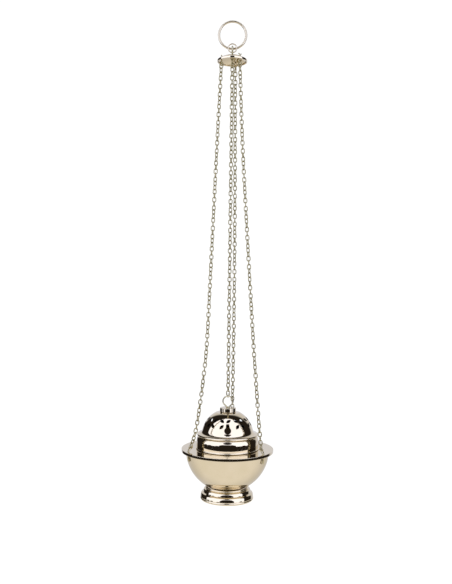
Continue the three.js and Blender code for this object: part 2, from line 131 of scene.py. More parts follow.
HANGER_EYE_RADIUS = 3.6
HANGER_EYE_WIRE = 0.9
HAND_RING_RADIUS = 14
HAND_RING_WIRE = 1.2
PULL_RING_RADIUS = 4.4
PULL_RING_WIRE = 0.6

# The points that each slack chain passes between its two jump rings, as in the CAD model, mm.
CHAIN_ROUTES = {
    "back": [(5, 41.2, 90), (5.4, 30, 200), (4.8, 21, 300), (4, 14.4, 385)],
    "left": [
        (-32.2, -22.6, 74),
        (-28.3, -23.6, 100),
        (-24.8, -24.8, 130),
        (-22.2, -22.4, 160),
        (-20.2, -17.7, 210),
        (-17.1, -10.9, 296),
        (-13.8, -5.6, 385),
    ],
    "right": [
        (31, -23.8, 84),
        (27.3, -22.6, 130),
        (24.9, -20.8, 160),
        (18.7, -16.6, 250),
        (12.7, -12.2, 342),
        (9.9, -10.1, 395),
    ],
}

# ---- the chain's links, mm ---------------------------------------------------------------------------------
CHAIN_WIRE = 0.5  # radius of the links' wire
CHAIN_PITCH = 4.2
CHAIN_HALF_WIDTH = 1.66  # to the middle of the wire
LINK_TWIST = math.radians(103)  # a quarter turn, and a little more as the chain winds

ROUND = 192  # sides of the large turned pieces
SMALL_ROUND = 96  # sides of the small ones
SHARP_ANGLE = 30  # an edge that turns by more stays sharp, degrees
SOFT_ANGLE = 22  # a corner that turns by less isn't rounded off, degrees

# Shares of the dome's radius that mark its polished ball, and how squarely such a face looks outwards.
BALL_INNER, BALL_OUTER = 0.99, 1.002
BALL_LOW, BALL_HIGH = 0.06, 0.9
BALL_FACING = 0.995
# The same for the faces painted near black as shade: the inside and the petals' cut edges.
CUT_OUTER, CUT_LOW, CUT_FACING = 0.995, 0.1, 0.6


# ---- materials ---------------------------------------------------------------------------------------------
def brass(name, colour, roughness, tarnish=0.06, scratch=0.012, scale=60.0):
    """Polished brass: slightly uneven colour and gloss, with very fine polishing marks."""
    material = bpy.data.materials.new(name)
    material.use_nodes = True
    tree = material.node_tree
    shader = tree.nodes["Principled BSDF"]
    shader.inputs["Metallic"].default_value = 1.0
    where = tree.nodes.new("ShaderNodeTexCoord")

    cloud = tree.nodes.new("ShaderNodeTexNoise")
    cloud.inputs["Scale"].default_value = scale
    cloud.inputs["Detail"].default_value = 5.0
    tree.links.new(where.outputs["Object"], cloud.inputs["Vector"])
    tint = tree.nodes.new("ShaderNodeValToRGB")
    tint.color_ramp.elements[0].position = 0.35
    tint.color_ramp.elements[1].position = 0.65
    red, green, blue = colour
    dull, dull_blue = 1 - tarnish, 1 - 1.6 * tarnish
    tint.color_ramp.elements[0].color = (red * dull, green * dull, blue * dull_blue, 1)
    tint.color_ramp.elements[1].color = (red, green, blue, 1)
    tree.links.new(cloud.outputs["Fac"], tint.inputs["Fac"])
    tree.links.new(tint.outputs["Color"], shader.inputs["Base Color"])

    gloss = tree.nodes.new("ShaderNodeMapRange")
    gloss.inputs["To Min"].default_value = roughness * 0.7
    gloss.inputs["To Max"].default_value = roughness * 1.5
    tree.links.new(cloud.outputs["Fac"], gloss.inputs["Value"])
    tree.links.new(gloss.outputs["Result"], shader.inputs["Roughness"])

    marks = tree.nodes.new("ShaderNodeTexNoise")
    marks.inputs["Scale"].default_value = 900.0
    marks.inputs["Detail"].default_value = 2.0
    stretch = tree.nodes.new("ShaderNodeMapping")
    stretch.inputs["Scale"].default_value = (0.25, 0.25, 3.0)
    tree.links.new(where.outputs["Object"], stretch.inputs["Vector"])
    tree.links.new(stretch.outputs["Vector"], marks.inputs["Vector"])
    bump = tree.nodes.new("ShaderNodeBump")
    bump.inputs["Strength"].default_value = scratch
    bump.inputs["Distance"].default_value = 0.0002
    tree.links.new(marks.outputs["Fac"], bump.inputs["Height"])
    tree.links.new(bump.outputs["Normal"], shader.inputs["Normal"])
    return material


POLISHED = brass("polished brass", (0.745, 0.635, 0.455), 0.035)
WIRE = brass("bright brass wire", (0.60, 0.53, 0.36), 0.09, tarnish=0.15, scratch=0.05, scale=150.0)
LINKS = brass("chain brass", (0.45, 0.385, 0.225), 0.2, tarnish=0.25, scratch=0.06, scale=220.0)
# Painted shade: the lid's inside and the petals' cut edges are coloured near black so the piercings look dark; only
# the roughness is the metal's own.
PAINTED_SHADE_INSIDE = brass("painted shade inside", (0.020, 0.016, 0.012), 0.6, tarnish=0.4, scratch=0.2)
PAINTED_SHADE_INSIDE.node_tree.nodes["Principled BSDF"].inputs["Metallic"].default_value = 0.2
CUP_METAL = brass("heat tinted brass", (0.42, 0.33, 0.18), 0.4, tarnish=0.35, scratch=0.2)
STEEL = brass("plain steel", (0.6, 0.6, 0.58), 0.28, tarnish=0.1, scratch=0.1)


# ---- mesh helpers ------------------------------------------------------------------------------------------
def place(point):
    """A point in mm, with its height from the foot's base, in the frame."""
    return Vector((point[0] * MM, point[1] * MM, point[2] * MM + BASE_Z))


def piece(name, vertices, faces, material, body, nodes, sharp=SHARP_ANGLE):
    """A visible piece, its vertices in mm, that rides a body and stands in for CAD nodes."""
    mesh = bpy.data.meshes.new(name)
    mesh.from_pydata([place(v) for v in vertices], [], faces)
    mesh.validate()
    mesh.materials.append(material)
    mesh.shade_smooth()
    if sharp:
        mesh.set_sharp_from_angle(angle=math.radians(sharp))
    thing = bpy.data.objects.new(name, mesh)
    bpy.context.scene.collection.objects.link(thing)
    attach(thing, body)
    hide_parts(*nodes)
    if sharp:
        settle(thing, "WEIGHTED_NORMAL", keep_sharp=True)
    return thing


def settle(thing, kind, **settings):
    """Applies one modifier to a piece's mesh; weighted normals keep flat faces flat beside rounded edges."""
    modifier = thing.modifiers.new(kind.lower(), kind)
    for key, value in settings.items():
        setattr(modifier, key, value)
    bpy.context.view_layer.update()
    ready = thing.evaluated_get(bpy.context.evaluated_depsgraph_get())
    result = bpy.data.meshes.new_from_object(ready)
    thing.modifiers.remove(modifier)
    thing.data = result


def arc(centre_r, centre_z, radius, start, end, steps=24):
    """Points of a circle in the profile plane; angles are degrees up from the widest radius."""
    points = []
    for i in range(steps + 1):
        a = math.radians(start + (end - start) * i / steps)
        points.append((centre_r + radius * math.cos(a), centre_z + radius * math.sin(a)))
    return points


def bend(start, corner, end, t):
    """A point of the smooth curve from start to end that a corner between them draws outwards."""
    return start * (1 - t) ** 2 + corner * 2 * t * (1 - t) + end * t**2


def softened(points, radius, closed=True, steps=4):
    """The outline with each real corner rounded off by about that radius."""
    out = []
    n = len(points)
    for i, point in enumerate(points):
        here = Vector(point)
        if not closed and i in (0, n - 1):
            out.append(tuple(here))
            continue
        before, after = Vector(points[i - 1]), Vector(points[(i + 1) % n])
        a, b = here - before, after - here
        if a.length < 1e-6 or b.length < 1e-6:
            continue
        if a.angle(b) < math.radians(SOFT_ANGLE):
            out.append(tuple(here))
            continue
        start = here - a.normalized() * min(radius, a.length * 0.45)
        end = here + b.normalized() * min(radius, b.length * 0.45)
        out += [tuple(bend(start, here, end, k / steps)) for k in range(steps + 1)]
    return out


def turned(profile, closed=True, sides=ROUND):
    """Vertices and faces of a turned piece, its profile listed up the outside and down the inside."""
    vertices, rings = [], []
    for r, z in profile:
        if r < 1e-6:
            rings.append([len(vertices)] * sides)
            vertices.append((0, 0, z))
            continue
        rings.append(list(range(len(vertices), len(vertices) + sides)))
        for i in range(sides):
            a = 2 * math.pi * i / sides
            vertices.append((r * math.cos(a), r * math.sin(a), z))
    faces = []
    for low, high in zip(rings, rings[1:] + rings[:1] if closed else rings[1:]):
        for i in range(sides):
            j = (i + 1) % sides
            face = list(dict.fromkeys((low[i], low[j], high[j], high[i])))
            if len(face) > 2:
                faces.append(face)
    return vertices, faces


def sweep(path, radius, sides=12, closed=False):
    """A round wire along a path of points."""
    points = [Vector(p) for p in path]
    n = len(points)
    vertices, faces = [], []
    normal = None
    for i, point in enumerate(points):
        before = points[i - 1] if i or closed else points[0]
        after = points[(i + 1) % n] if i < n - 1 or closed else points[-1]
        along = (after - before).normalized()
        if normal is None:
            normal = along.orthogonal().normalized()
        normal = (normal - along * normal.dot(along)).normalized()
        side = along.cross(normal)
        for k in range(sides):
            a = 2 * math.pi * k / sides
            vertices.append(point + (normal * math.cos(a) + side * math.sin(a)) * radius)
    for i in range(n if closed else n - 1):
        for k in range(sides):
            a, b = i * sides, (i + 1) % n * sides
            faces.append((a + k, a + (k + 1) % sides, b + (k + 1) % sides, b + k))
    if not closed:
        faces.append(tuple(reversed(range(sides))))
        faces.append(tuple(range((n - 1) * sides, n * sides)))
    return vertices, faces


def smooth_path(points, steps=6):
    """A Catmull-Rom curve through the points."""
    ends = [points[0] * 2 - points[1], *points, points[-1] * 2 - points[-2]]
    path = []
    for i in range(1, len(ends) - 2):
        p0, p1, p2, p3 = ends[i - 1 : i + 3]
        for k in range(steps):
            t = k / steps
            second = (2 * p0 - 5 * p1 + 4 * p2 - p3) * t**2
            third = (3 * p1 - p0 - 3 * p2 + p3) * t**3
            path.append(0.5 * (2 * p1 + (p2 - p0) * t + second + third))
    return [*path, ends[-2]]


def moved(vertices, matrix):
    return [matrix @ Vector(v) for v in vertices]


def bore(thing, cutters):
    """Cuts the cutters' closed shapes, given as vertices and faces in mm, out of a piece."""
    vertices, faces = [], []
    for cutter_vertices, cutter_faces in cutters:
        start = len(vertices)
        vertices += [place(v) for v in cutter_vertices]
        faces += [[start + i for i in face] for face in cutter_faces]
    mesh = bpy.data.meshes.new("cutter")
    mesh.from_pydata(vertices, [], faces)
    cutter = bpy.data.objects.new("cutter", mesh)
    bpy.context.scene.collection.objects.link(cutter)
    settle(thing, "BOOLEAN", object=cutter, solver="EXACT")
    bpy.data.objects.remove(cutter)
    thing.data.shade_smooth()
    thing.data.set_sharp_from_angle(angle=math.radians(SHARP_ANGLE))
    settle(thing, "WEIGHTED_NORMAL", keep_sharp=True)


def prism(outline, low, high):
    """A closed prism over an anticlockwise outline of (x, y) points."""
    n = len(outline)
    vertices = [(x, y, low) for x, y in outline] + [(x, y, high) for x, y in outline]
    faces = [tuple(reversed(range(n))), tuple(range(n, 2 * n))]
    faces += [(i, (i + 1) % n, n + (i + 1) % n, n + i) for i in range(n)]
    return vertices, faces


def drill(x, y, low, high, radius, sides=48):
    """The round cutter of a vertical hole."""
    turns = [2 * math.pi * i / sides for i in range(sides)]
    return prism([(x + radius * math.cos(a), y + radius * math.sin(a)) for a in turns], low, high)


def eye_holes(turn, circle, low, high):
    """The cutters of the holes for the three suspension chains' pins."""
    places = [chain_direction(i, turn) * circle for i in range(len(SIDES))]
    return [drill(at.x, at.y, low, high, EYE_HOLE_RADIUS) for at in places]


def chain_direction(i, turn):
    """From the axis towards the eye of chain i, seen from above; chain 0 is at the back."""
    a = math.radians(90 - turn + 360 / len(SIDES) * i)
    return Vector((math.cos(a), math.sin(a), 0))


# ---- foot --------------------------------------------------------------------------------------------------
def seat_height(radius):
    """The foot's top surface, which follows the bowl's ball."""
    return BOWL_CENTRE_Z - math.sqrt((BOWL_RADIUS + GAP) ** 2 - radius**2) - SEAT_CLEARANCE


def foot_step(radius, z, side, shoulder):
    """The outline of one step: a side that leans in a little more as it rises, and a round shoulder."""
    low, high = math.radians(STEP_LOW), math.radians(STEP_HIGH)
    side_r, side_z = radius - side * math.cos(low), z - side * math.sin(low)
    shoulder_r = side_r + (side - shoulder) * math.cos(high)
    shoulder_z = side_z + (side - shoulder) * math.sin(high)
    rounded = arc(shoulder_r, shoulder_z, shoulder, STEP_HIGH, STEP_SHOULDER_END)[1:]
    return [*arc(side_r, side_z, side, STEP_LOW, STEP_HIGH), *rounded]


def make_foot():
    neck = FOOT_NECK_RADIUS - NECK_BEAD
    outline = [
        (FOOT_RADIUS - 3.4, 0),
        (FOOT_RADIUS - 0.6, 0),
        *arc(FOOT_RADIUS - FOOT_LIP, 1.4, FOOT_LIP, -60, 50, 12),
        *(point for step in FOOT_STEPS for point in foot_step(*step)),
        *arc(neck, NECK_BEAD_Z, NECK_BEAD, -55, 85, 16),
        *[(r, seat_height(r)) for r in (neck - 0.8, 19, 17, 15, 13, 11)],
        (BOWL_FLAT_RADIUS, WEB_TOP_Z),
        (SCREW_RADIUS + GAP, WEB_TOP_Z),
        (SCREW_RADIUS + GAP, WEB_TOP_Z - FOOT_WALL),
        (BOWL_FLAT_RADIUS + 1.5, WEB_TOP_Z - FOOT_WALL),
        (neck - 4.7, WEB_TOP_Z),
        (neck - 1.7, WEB_TOP_Z + 0.8),
        (neck + 0.8, 6.5),
        (FOOT_RADIUS - 3.4, 2.2),
    ]
    vertices, faces = turned(softened(outline, 0.25))
    piece("stepped_foot", vertices, faces, POLISHED, "censer", ["foot"])


# ---- bowl, rim and cup -------------------------------------------------------------------------------------
def make_bowl():
    top = RIM_TOP_Z - RIM_THICKNESS - GAP
    inner = BOWL_RADIUS - BOWL_WALL
    flat = -math.degrees(math.acos(BOWL_FLAT_RADIUS / BOWL_RADIUS))
    high = math.degrees(math.asin((top - BOWL_CENTRE_Z) / BOWL_RADIUS))
    outline = [
        (SCREW_RADIUS + GAP, FLAT_Z),
        *arc(0, BOWL_CENTRE_Z, BOWL_RADIUS, flat, high, 96),
        *arc(0, BOWL_CENTRE_Z, inner, high, flat, 64),
        (SCREW_RADIUS + GAP, BOWL_CENTRE_Z + inner * math.sin(math.radians(flat))),
    ]
    vertices, faces = turned(softened(outline, 0.2))
    piece("round_bowl", vertices, faces, POLISHED, "censer", ["bowl"])


def make_rim():
    under = RIM_TOP_Z - RIM_THICKNESS
    edge = RIM_TOP_Z - RIM_EDGE_DROP
    wall = RIM_RADIUS - RIM_EDGE_WALL
    turn = RIM_RADIUS - RIM_EDGE_ROUND
    outline = [
        (RIM_MOUTH_RADIUS, under),
        (wall, under),
        (wall, edge + 0.2),
        (RIM_RADIUS - 0.5, edge),
        *arc(turn, edge + RIM_EDGE_ROUND, RIM_EDGE_ROUND, -60, 0, 4),
        *arc(turn, RIM_TOP_Z - RIM_EDGE_ROUND, RIM_EDGE_ROUND, 0, 90, 6),
        (RIM_MOUTH_RADIUS, RIM_TOP_Z),
    ]
    vertices, faces = turned(softened(outline, 0.2))
    rim = piece("flat_rim", vertices, faces, POLISHED, "censer", ["rim_flange"])
    bore(rim, eye_holes(CHAIN_TURN, EYE_CIRCLE, under - 2, RIM_TOP_Z + 2))


def make_cup():
    rim = CUP_FLOOR_Z + 6.4
    flat = 15
    outline = [
        (0, CUP_FLOOR_Z),
        (flat, CUP_FLOOR_Z),
        (CUP_RADIUS - 5, CUP_FLOOR_Z + 2.2),
        (CUP_RADIUS - 1.6, rim - 1),
        (CUP_RADIUS, rim - 0.8),
        (CUP_RADIUS, rim),
        (CUP_RADIUS - 2.4, rim),
        (CUP_RADIUS - 5.8, CUP_FLOOR_Z + 3.1),
        (flat, CUP_FLOOR_Z + CUP_WALL),
        (0, CUP_FLOOR_Z + CUP_WALL),
    ]
    vertices, faces = turned(softened(outline, 0.4, closed=False), closed=False, sides=SMALL_ROUND)
    piece("coal_cup", vertices, faces, CUP_METAL, "cup", ["charcoal_cup"])


# ---- lid ---------------------------------------------------------------------------------------------------
def make_drum():
    spigot = RIM_MOUTH_RADIUS - 0.5
    inner = DRUM_RADIUS - DRUM_WALL
    outline = [
        (spigot - DRUM_WALL, LID_SEAT_Z - 2.8),
        (spigot, LID_SEAT_Z - 2.8),
        (spigot, LID_SEAT_Z),
        (DRUM_RADIUS + 0.1, LID_SEAT_Z),
        *arc(DRUM_RADIUS, LID_SEAT_Z + 0.5, 0.5, -70, 70, 8),
        (DRUM_RADIUS, LID_SEAT_Z + 1.3),
        *arc(DRUM_RADIUS - DRUM_SHOULDER, DRUM_TOP_Z - 4.5, DRUM_SHOULDER, 0, 30, 16),
        (DRUM_RADIUS - 1.6, DRUM_TOP_Z),
        (SEAM_RADIUS, DRUM_TOP_Z),
        (SEAM_RADIUS, DRUM_TOP_Z - DRUM_WALL),
        (inner - 1.4, DRUM_TOP_Z - DRUM_WALL),
        (inner, DRUM_TOP_Z - DRUM_WALL - 3),
        (inner, LID_SEAT_Z + DRUM_WALL),
        (spigot - DRUM_WALL, LID_SEAT_Z + DRUM_WALL),
    ]
    vertices, faces = turned(softened(outline, 0.2))
    piece("lid_band", vertices, faces, POLISHED, "lid", ["lid_drum"])


def petal_cutter(latitude, longitude, turn):
    """One pointed petal, pushed through the dome's wall along the line from the dome's centre."""
    middle = PETAL_START + PETAL_LENGTH / 2
    start, end = Vector((PETAL_START, 0)), Vector((PETAL_START + PETAL_LENGTH, 0))
    low, high = Vector((middle, -PETAL_WIDTH)), Vector((middle, PETAL_WIDTH))
    outline = []
    for a, control, b in ((start, low, end), (end, high, start)):
        outline += [bend(a, control, b, k / 12) for k in range(12)]
    vertices, faces = prism(outline, DOME_RADIUS - 6, DOME_RADIUS + 5)
    aim = (
        Matrix.Translation((0, 0, DOME_CENTRE_Z))
        @ Matrix.Rotation(longitude, 4, "Z")
        @ Matrix.Rotation(math.pi / 2 - latitude, 4, "Y")
        @ Matrix.Rotation(turn, 4, "Z")
    )
    return moved(vertices, aim), faces


def make_dome():
    """The pierced ball of the lid, which flares in a hollow curve to a rounded brim."""
    inner = DOME_RADIUS - DOME_WALL
    flat = math.degrees(math.acos(DOME_FLAT_RADIUS / DOME_RADIUS))
    inner_flat = math.degrees(math.acos((DOME_FLAT_RADIUS - 0.8) / inner))
    base = DRUM_TOP_Z + GAP
    start = math.radians(DOME_START)
    foot = Vector((DOME_RADIUS * math.cos(start), DOME_CENTRE_Z + DOME_RADIUS * math.sin(start)))
    corner = Vector((foot.x + math.tan(start) * (foot.y - base - FLARE_RISE), base + FLARE_RISE))
    toe = Vector((BRIM_RADIUS - BRIM_BEAD, base + 2 * BRIM_BEAD))
    flare = [tuple(bend(toe, corner, foot, k / 16)) for k in range(1, 16)]
    outline = [
        (SEAM_RADIUS, base),
        *arc(BRIM_RADIUS - BRIM_BEAD, base + BRIM_BEAD, BRIM_BEAD, -90, 90, 20),
        *flare,
        *arc(0, DOME_CENTRE_Z, DOME_RADIUS, DOME_START, flat, 72),
        (COLLAR_RADIUS, CROWN_Z),
        (COLLAR_BORE, CROWN_Z),
        (COLLAR_BORE, CROWN_Z - DOME_WALL),
        (COLLAR_RADIUS, CROWN_Z - DOME_WALL),
        *arc(0, DOME_CENTRE_Z, inner, inner_flat, DOME_START, 48),
        (FLARE_INNER[0], base + FLARE_INNER[1]),
        (SEAM_RADIUS, base + 2),
    ]
    vertices, faces = turned(softened(outline, 0.35))
    dome = piece("pierced_dome", vertices, faces, POLISHED, "lid", ["lid_dome"])
    cutters = []
    for flower in range(FLOWERS):
        longitude = math.radians(FIRST_FLOWER + 360 / FLOWERS * flower)
        for petal in range(PETALS):
            turn = math.radians(FIRST_PETAL + 360 / PETALS * petal)
            cutters.append(petal_cutter(math.radians(FLOWER_LATITUDE), longitude, turn))
    bore(dome, cutters)
    finish_ball(dome.data, place((0, 0, DOME_CENTRE_Z)), inner * MM, DOME_RADIUS * MM)


def finish_ball(mesh, centre, inner, outer):
    """Gives the ball the normals of a true ball, so that the piercing leaves no dents in the polish.

    The inside and the petals' cut edges get a rough, near-black metal: painted shade, so the piercings look dark.
    """
    # painted shade: near-black metal on the inside and the petals' cut edges
    mesh.materials.append(PAINTED_SHADE_INSIDE)
    for face in mesh.polygons:
        away = face.center - centre
        under = away.length < outer * CUT_OUTER and away.z > CUT_LOW * outer
        if under and face.normal.dot(away.normalized()) < CUT_FACING:
            face.material_index = 1
    normals = [Vector(n.vector) for n in mesh.corner_normals]
    for face in mesh.polygons:
        away = face.center - centre
        facing = abs(face.normal.dot(away.normalized()))
        ball = inner * BALL_INNER < away.length < outer * BALL_OUTER and facing > BALL_FACING
        if not ball or not outer * BALL_LOW < away.z <= outer * BALL_HIGH:
            continue
        sign = 1 if face.normal.dot(away) > 0 else -1
        for loop in face.loop_indices:
            corner = mesh.vertices[mesh.loops[loop].vertex_index].co
            normals[loop] = (corner - centre).normalized() * sign
    mesh.normals_split_custom_set(normals)


def make_collar():
    low = CROWN_Z + GAP
    top = low + COLLAR_HEIGHT
    outline = [(COLLAR_BORE, low), (COLLAR_RADIUS, low), (COLLAR_RADIUS, top), (COLLAR_BORE, top)]
    vertices, faces = turned(softened(outline, 0.4), sides=SMALL_ROUND)
    piece("lid_knob", vertices, faces, POLISHED, "lid", ["lid_collar"])
    return top


# ---- eyes and rings ----------------------------------------------------------------------------------------
def spread_leg(wire_radius, plate, spread):
    """The points of a pin's leg spread sideways behind a plate: beside the pin, along Y and up."""
    under = -plate - wire_radius - GAP
    return [(spread, 0, under - 0.35), (spread * 0.35, 0, under - 0.2), (0, 0, 0.1 - plate)]


def split_pin(eye_radius, wire_radius, leg, lean=0.0):
    """A split pin bent from one wire, its eye along +Z from the plate's face at z = 0 or leaning over to +Y."""
    half = wire_radius + 0.06
    eye_z = wire_radius + GAP + eye_radius * 1.08
    right = [Vector((half + x, y, z)) for x, y, z in (*leg, (0, 0, 0))]
    left = [Vector((-p.x, p.y, p.z)) for p in reversed(right)]
    turns = [math.radians(a) for a in range(-62, 243, 38)]
    loop = [Vector((eye_radius * math.cos(a), 0, eye_z + eye_radius * math.sin(a))) for a in turns]
    loop = [Matrix.Rotation(-lean, 3, "X") @ point for point in loop]
    return sweep(smooth_path([*right, *loop, *left]), wire_radius)


def ring(radius, wire_radius, across, along, centre, sides=72):
    """A plain ring of round wire about a centre, in the plane of two square directions."""
    turns = [2 * math.pi * i / sides for i in range(sides)]
    path = [centre + (across * math.cos(a) + along * math.sin(a)) * radius for a in turns]
    return sweep(path, wire_radius, sides=16, closed=True)


def node_centre(node):
    """The middle of a CAD node, in mm with its height from the foot's base."""
    low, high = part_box(node)
    middle = (low + high) / 2
    return Vector((middle.x / MM, middle.y / MM, (middle.z - BASE_Z) / MM))


def cap_height(radius):
    """The cap's upper face over its edge's level."""
    return CAP_RISE * (1 - (radius / CAP_RADIUS) ** 2) + CAP_EDGE_HEIGHT


def lie(start, end, out):
    """The direction from start to end, and the one nearest to out that is square to it."""
    along = (end - start).normalized()
    return along, (out - along * out.dot(along)).normalized()


def make_suspension():
    plate = CAP_WALL + 1  # the sloping cap's thickness along a pin, with room for the slope
    plate_z = CAP_EDGE_Z + cap_height(CAP_EYE_CIRCLE) + 0.5 - plate
    for i, side in enumerate(SIDES):
        route = [Vector(point) for point in CHAIN_ROUTES[side]]
        out = chain_direction(i, CHAIN_TURN)
        cap_out = chain_direction(i, HANGER_TURN)
        turn = Matrix.Rotation(math.atan2(out.y, out.x) + math.pi / 2, 4, "Z")
        cap_turn = Matrix.Rotation(math.atan2(cap_out.y, cap_out.x) + math.pi / 2, 4, "Z")

        vertices, faces = split_pin(EYE_RADIUS, EYE_WIRE, RIM_LEG, RIM_EYE_LEAN)
        at = Matrix.Translation((out.x * EYE_CIRCLE, out.y * EYE_CIRCLE, RIM_TOP_Z))
        name = f"rim_split_pin_{side}"
        piece(name, moved(vertices, at @ turn), faces, WIRE, "censer", [f"rim_eye_{side}"])

        vertices, faces = split_pin(EYE_RADIUS, EYE_WIRE, spread_leg(EYE_WIRE, plate, 1.4))
        at = Matrix.Translation((cap_out.x * CAP_EYE_CIRCLE, cap_out.y * CAP_EYE_CIRCLE, plate_z))
        over = cap_turn @ Matrix.Rotation(math.pi, 4, "X")
        name = f"cap_split_pin_{side}"
        piece(name, moved(vertices, at @ over), faces, WIRE, "censer", [f"cap_eye_{side}"])

        low, high = node_centre(f"rim_link_{side}"), node_centre(f"cap_link_{side}")
        _, chain_across = lie(low, route[0], out)
        for level, centre, end, hang in (("rim", low, route[0], out), ("cap", high, route[-1], cap_out)):
            along, across = lie(centre, end, hang)
            vertices, faces = ring(LINK_RING_RADIUS, LINK_WIRE, across, along, centre)
            node = f"{level}_link_{side}"
            piece(f"{level}_jump_ring_{side}", vertices, faces, WIRE, "censer", [node])
        reach = LINK_RING_RADIUS - LINK_WIRE
        path = smooth_path([low, *route, high], 24)
        make_chain(f"chain_{side}", path, reach, reach, chain_across, "censer", f"bowl_chain_{side}")


# ---- chains ------------------------------------------------------------------------------------------------
def link_path(pitch):
    """One link's wire, in its own plane: X across and Z along the chain, with round ends and straight sides."""
    straight = (pitch + 2 * CHAIN_WIRE) / 2 - CHAIN_HALF_WIDTH
    path = []
    for end in (1, -1):
        for k in range(9):
            a = math.pi * k / 8
            x = end * CHAIN_HALF_WIDTH * math.cos(a)
            z = end * (straight + CHAIN_HALF_WIDTH * math.sin(a))
            path.append(Vector((x, 0, z)))
    return path


def along_path(path, distances):
    """The points at those distances along a path, and its direction at each."""
    found = []
    walked, k = 0.0, 0
    for distance in distances:
        while k < len(path) - 2 and walked + (path[k + 1] - path[k]).length < distance:
            walked += (path[k + 1] - path[k]).length
            k += 1
        step = path[k + 1] - path[k]
        found.append((path[k] + step.normalized() * (distance - walked), step.normalized()))
    return found


def make_chain(name, path, first_reach, last_reach, across, body, node):
    """A chain along a path between the middles of two rings, each link through the one before it."""
    whole = sum((b - a).length for a, b in zip(path, path[1:]))
    first = first_reach - 2 * CHAIN_WIRE  # where the pitch of the first link begins
    last = whole - (last_reach - 2 * CHAIN_WIRE)
    count = round((last - first) / CHAIN_PITCH)
    pitch = (last - first) / count
    shape = link_path(pitch)
    shake = random.Random(name)
    vertices, faces = [], []
    middles = [first + pitch * (i + 0.5) for i in range(count)]
    for i, (centre, along) in enumerate(along_path(path, middles)):
        square = (across - along * across.dot(along)).normalized()
        basis = Matrix((square, along.cross(square), along)).transposed().to_4x4()
        turn = Quaternion((0, 0, 1), math.pi / 2 + i * LINK_TWIST + math.radians(shake.uniform(-6, 6)))
        lean = Quaternion((1, 0, 0), math.radians(shake.uniform(-3, 3)))
        link_vertices, link_faces = sweep(shape, CHAIN_WIRE, sides=8, closed=True)
        offset = len(vertices)
        rotate = basis @ (turn @ lean).to_matrix().to_4x4()
        vertices += [centre + rotate @ Vector(v) for v in link_vertices]
        faces += [[offset + k for k in face] for face in link_faces]
    piece(name, vertices, faces, LINKS, body, [node], sharp=0)


def make_lid_chain(collar_top):
    leg = spread_leg(LID_EYE_WIRE, COLLAR_HEIGHT + GAP + DOME_WALL, 1.8)
    vertices, faces = split_pin(LID_EYE_RADIUS, LID_EYE_WIRE, leg)
    at = Matrix.Translation((0, 0, collar_top))
    piece("lid_wire_eye", moved(vertices, at), faces, WIRE, "lid", ["lid_eye"])
    low = node_centre("lid_link")
    pull = node_centre("pull_ring")
    end = Vector((0, PULL_HOLE_Y, pull.z - PULL_RING_RADIUS))
    along, across = lie(low, end, Vector((0, 1, 0)))
    vertices, faces = ring(LINK_RING_RADIUS, LINK_WIRE, across, along, low)
    piece("lid_jump_ring", vertices, faces, WIRE, "lid", ["lid_link"])
    hooked = end + along * (PULL_RING_WIRE + 2 * CHAIN_WIRE)
    make_chain("chain_lid", [low, hooked], LINK_RING_RADIUS - LINK_WIRE, 2 * CHAIN_WIRE, across, "lid", "lid_chain")
    x, z = Vector((1, 0, 0)), Vector((0, 0, 1))
    vertices, faces = ring(PULL_RING_RADIUS, PULL_RING_WIRE, x, z, Vector((0, PULL_HOLE_Y, pull.z)))
    piece("small_pull_ring", vertices, faces, POLISHED, "pull_ring", ["pull_ring"])


# ---- hanger ------------------------------------------------------------------------------------------------
def make_hanger():
    steps = [CAP_RADIUS - (CAP_RADIUS - 2.2) * i / 24 for i in range(25)]
    outline = [
        (CAP_RADIUS - CAP_WALL, CAP_EDGE_Z - 1.2),
        (CAP_RADIUS, CAP_EDGE_Z - 1.2),
        *[(r, CAP_EDGE_Z + cap_height(r)) for r in steps],
        *[(r, CAP_EDGE_Z + cap_height(r) - CAP_WALL) for r in reversed(steps[3:])],
        (CAP_RADIUS - CAP_WALL, CAP_EDGE_Z + cap_height(14) - CAP_WALL - 0.4),
    ]
    vertices, faces = turned(softened(outline, 0.3), sides=SMALL_ROUND)
    cap = piece("domed_cap", vertices, faces, POLISHED, "censer", ["hanger_cap"])
    through = (CAP_EDGE_Z - 4, CAP_EDGE_Z + 12)
    pull_hole = drill(0, PULL_HOLE_Y, *through, PULL_HOLE_RADIUS)
    bore(cap, [pull_hole, *eye_holes(HANGER_TURN, CAP_EYE_CIRCLE, *through)])

    leg = spread_leg(HANGER_EYE_WIRE, CAP_WALL, 2.4)
    vertices, faces = split_pin(HANGER_EYE_RADIUS, HANGER_EYE_WIRE, leg)
    at = Matrix.Translation((0, 0, CAP_EDGE_Z + cap_height(2.2))) @ Matrix.Rotation(math.pi / 2, 4, "Z")
    piece("hanger_split_pin", moved(vertices, at), faces, WIRE, "censer", ["hanger_eye"])

    centre = node_centre("hand_ring")
    x, z = Vector((1, 0, 0)), Vector((0, 0, 1))
    vertices, faces = ring(HAND_RING_RADIUS, HAND_RING_WIRE, x, z, centre, sides=128)
    piece("round_hand_ring", vertices, faces, POLISHED, "grip", ["hand_ring"])


def dress_cad_nodes():
    """The CAD pieces whose shape is already right keep it, with a worked metal surface."""
    for node, material in (("foot_screw", STEEL), ("foot_washer", POLISHED), ("foot_nut", POLISHED)):
        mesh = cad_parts[node].data
        mesh.materials.clear()
        mesh.materials.append(material)


